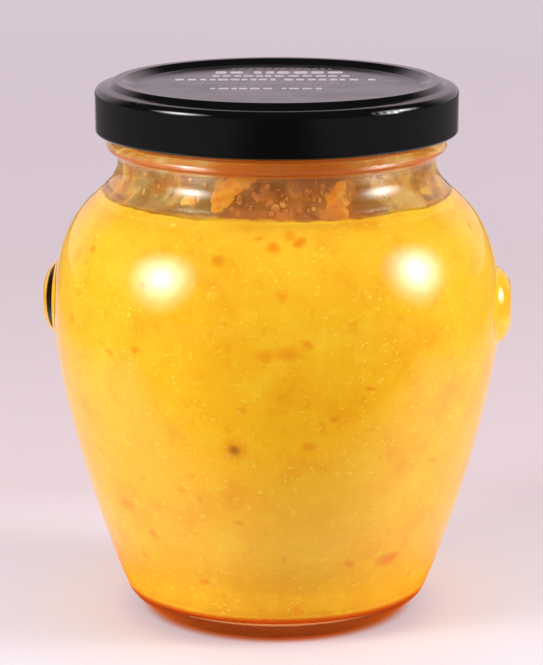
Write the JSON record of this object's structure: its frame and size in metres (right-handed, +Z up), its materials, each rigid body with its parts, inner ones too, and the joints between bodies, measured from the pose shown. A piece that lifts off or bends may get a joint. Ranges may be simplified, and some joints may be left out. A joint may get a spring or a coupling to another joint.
{
  "type": "marmalade jar",
  "caption": "Two-eared glass preserve jar filled with orange marmalade and closed by a black twist-off metal lid.",
  "frame": {"origin": "centre of the base, on the surface that the jar stands on", "axes": "+Z up along the jar's axis of turning; the two ears lie along +X and -X; -Y is the side shown in front"},
  "size_m": [0.0948, 0.0904, 0.1086],
  "materials": {
    "glass": "clear, glossy",
    "marmalade": "wet jelly with fine pulp",
    "lid": "black gloss lacquer",
    "peel": "wet peel and jelly"
  },
  "bodies": {
    "root": {"glass_jar": "glass", "marmalade": "marmalade", "lid": "lid", "clot_left": "peel", "clot_right": "peel"}
  },
  "joints": []
}
